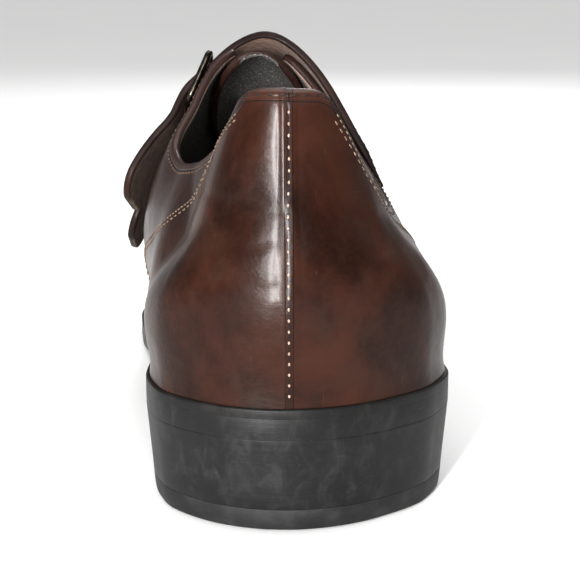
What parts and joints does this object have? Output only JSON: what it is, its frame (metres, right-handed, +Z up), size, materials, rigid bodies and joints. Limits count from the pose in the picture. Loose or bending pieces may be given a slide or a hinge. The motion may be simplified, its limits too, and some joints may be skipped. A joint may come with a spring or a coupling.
{
  "type": "wingtip double monk strap shoe",
  "caption": "Left dress shoe in dark brown leather with a wingtip toe, buckled monk straps over the instep, a welted leather sole and a stacked heel.",
  "frame": {"origin": "centre of the heel's floor face, on the floor plane", "axes": "+X towards the inner side of the foot, +Y towards the toe, +Z up"},
  "size_m": [0.1047, 0.3002, 0.1117],
  "materials": {
    "upper_leather": "semi-gloss",
    "strap_leather": "satin",
    "tongue_leather": "matte",
    "insole_leather": "matte",
    "welt_leather": "satin",
    "sole_leather": "satin",
    "heel_leather": "satin",
    "lift_rubber": "matte",
    "buckle_metal": "satin"
  },
  "bodies": {
    "root": {"outsole": "sole_leather", "welt": "welt_leather", "insole": "insole_leather", "heel": "heel_leather", "heel_top_lift": "lift_rubber", "upper": "upper_leather", "tongue": "tongue_leather", "strap_upper": "strap_leather", "strap_lower": "strap_leather", "buckle_upper": "buckle_metal", "buckle_lower": "buckle_metal", "prong_upper": "buckle_metal", "prong_lower": "buckle_metal"}
  },
  "joints": []
}
